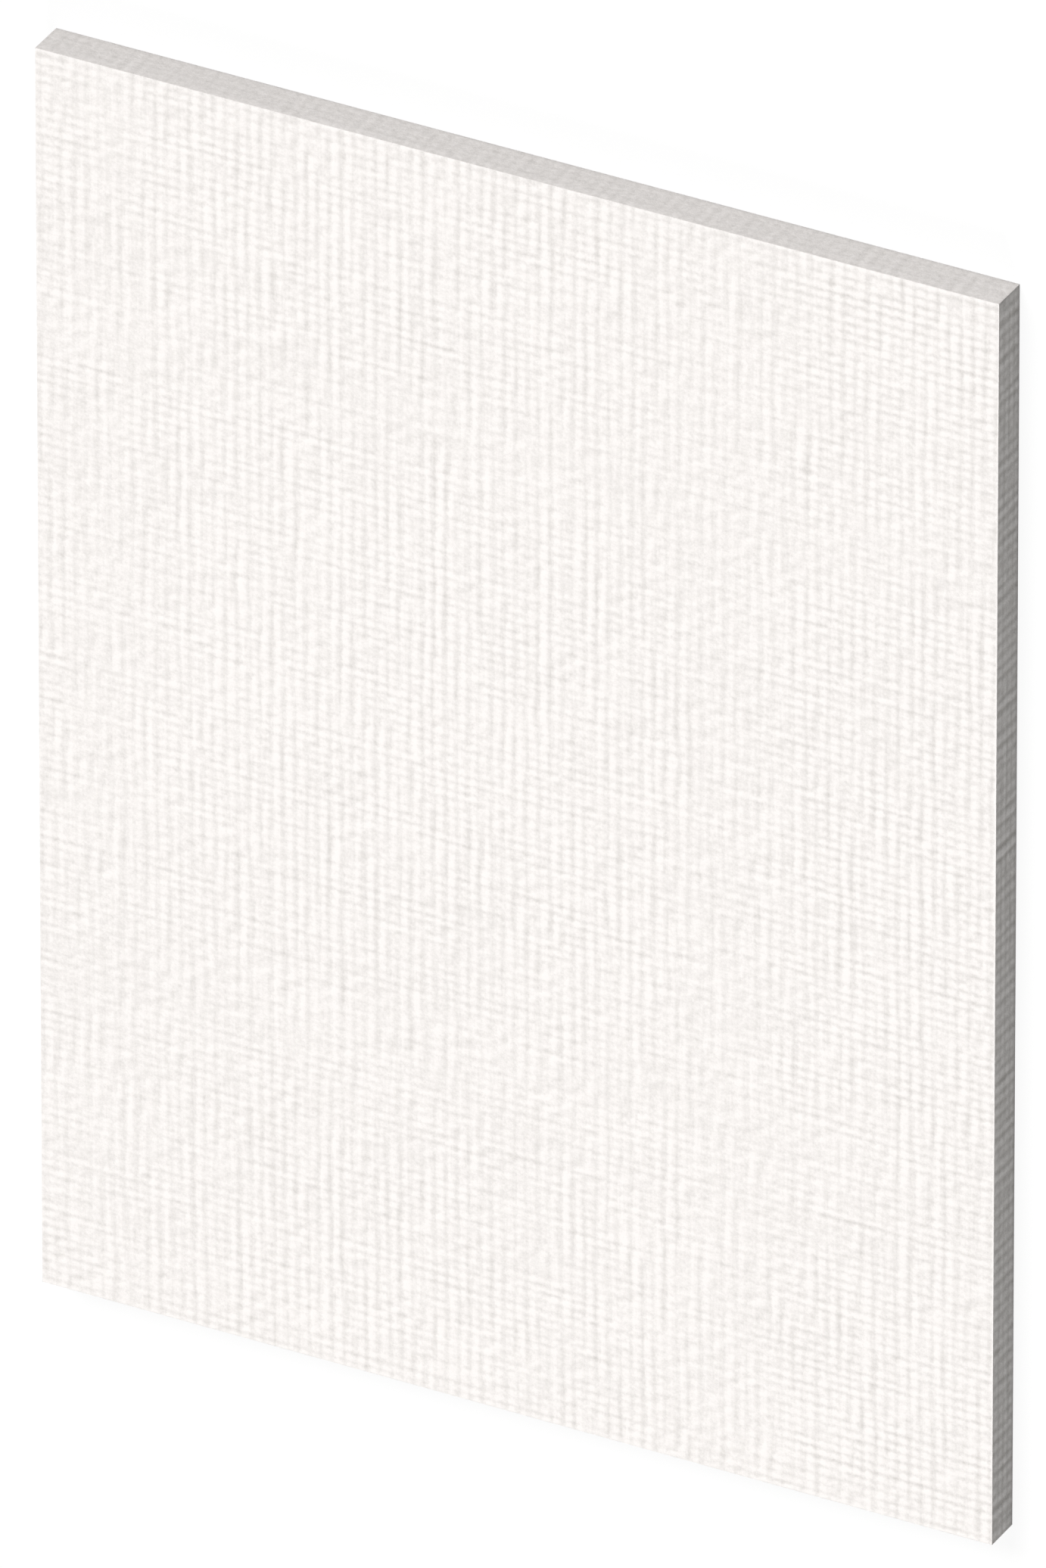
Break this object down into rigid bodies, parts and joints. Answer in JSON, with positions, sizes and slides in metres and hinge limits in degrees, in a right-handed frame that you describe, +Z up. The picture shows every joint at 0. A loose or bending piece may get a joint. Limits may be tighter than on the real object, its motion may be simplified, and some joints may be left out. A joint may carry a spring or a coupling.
{
  "type": "ceramic fiber insulation board",
  "caption": "Rigid rectangular insulation board of white ceramic fiber, with square trimmed sides and a fine linen-like relief on its faces, lying flat.",
  "frame": {"origin": "middle of the back face, which is the face the board lies on", "axes": "+X across the width, +Y along the length, +Z up through the thickness, out of the front face"},
  "size_m": [0.9144, 1.2192, 0.0381],
  "materials": {
    "ceramic_fiber": "matte"
  },
  "bodies": {
    "root": {"board": "ceramic_fiber"}
  },
  "joints": []
}
